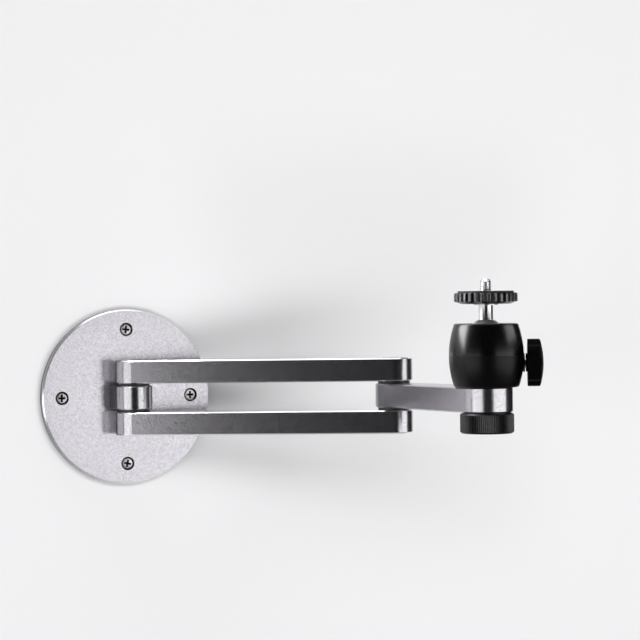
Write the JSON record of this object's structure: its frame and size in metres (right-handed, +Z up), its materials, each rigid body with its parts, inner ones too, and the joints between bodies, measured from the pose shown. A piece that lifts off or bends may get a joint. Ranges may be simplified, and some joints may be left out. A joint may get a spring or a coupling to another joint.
{
  "type": "projector wall mount",
  "caption": "Round wall plate with a folding two-bar arm, a tapered forearm and a clamped ball head that carries a projector on a knurled disc with a threaded stud.",
  "frame": {"origin": "middle of the wall plate's back face, on the wall", "axes": "+Y into the wall, +Z up, +X along the wall to the right as seen from the room"},
  "size_m": [0.2325, 0.2124, 0.1146],
  "materials": {
    "silver_aluminium": "satin",
    "grey_aluminium": "satin",
    "zinc_steel": "satin",
    "screw_steel": "satin",
    "washer_plastic": "matte",
    "bush_plastic": "matte",
    "black_anodised": "satin",
    "black_lacquer": "gloss",
    "insert_brass": "satin",
    "ball_steel": "satin",
    "stem_chrome": "polished",
    "knob_plastic": "satin",
    "pad_rubber": "matte"
  },
  "bodies": {
    "base": {"wall_plate": "silver_aluminium", "wall_screws": "screw_steel", "knuckle": "grey_aluminium", "knuckle_screws": "zinc_steel", "knuckle_bush": "bush_plastic"},
    "long_arm": {"upper_bar": "grey_aluminium", "lower_bar": "grey_aluminium", "wall_pivot_bolt": "zinc_steel", "wall_pivot_nut": "zinc_steel", "elbow_pivot_bolt": "zinc_steel", "elbow_pivot_nut": "zinc_steel", "upper_wall_washer": "washer_plastic", "lower_wall_washer": "washer_plastic", "upper_elbow_washer": "washer_plastic", "lower_elbow_washer": "washer_plastic"},
    "short_arm": {"forearm": "grey_aluminium", "elbow_bush": "bush_plastic"},
    "thumb_screw": {"thumb_nut": "black_anodised", "clamp_stud": "zinc_steel"},
    "head": {"barrel_lower": "black_lacquer", "barrel_upper": "black_lacquer", "base_insert": "insert_brass", "ball_cup": "bush_plastic", "liner_ring": "bush_plastic", "clamp_wedge": "zinc_steel", "clamp_bush": "black_lacquer"},
    "side_knob": {"clamp_knob": "knob_plastic", "clamp_screw": "zinc_steel"},
    "ball_stem": {"ball": "ball_steel", "stem": "stem_chrome"},
    "disc": {"lock_disc": "black_anodised", "lock_insert": "zinc_steel", "disc_pad": "pad_rubber"}
  },
  "joints": [
    {"name": "wall_pivot", "type": "hinge", "parent": "base", "child": "long_arm", "pos_m": [0, -0.018, 0], "axis": [0, 0, -1], "range_deg": [-26, 154]},
    {"name": "elbow_pivot", "type": "hinge", "parent": "long_arm", "child": "short_arm", "pos_m": [0.13302, -0.08288, 0], "axis": [0, 0, -1], "range_deg": [-200, 98]},
    {"name": "thumb_nut_turn", "type": "hinge", "parent": "short_arm", "child": "thumb_screw", "pos_m": [0.15147, -0.16278, -0.0123], "axis": [0, 0, 1], "continuous": true},
    {"name": "head_pan", "type": "hinge", "parent": "short_arm", "child": "head", "pos_m": [0.15147, -0.16278, 0.0067], "axis": [0, 0, 1], "continuous": true},
    {"name": "side_knob_turn", "type": "hinge", "parent": "head", "child": "side_knob", "pos_m": [0.15147, -0.16278, 0.0196], "axis": [0.8949, -0.4462, 0], "continuous": true},
    {"name": "ball_tilt", "type": "hinge", "parent": "head", "child": "ball_stem", "pos_m": [0.15147, -0.16278, 0.0331], "axis": [0.4462, 0.8949, 0], "range_deg": [-28, 28]},
    {"name": "lock_disc_turn", "type": "hinge", "parent": "ball_stem", "child": "disc", "pos_m": [0.15147, -0.16278, 0.0542], "axis": [0, 0, 1], "continuous": true}
  ]
}
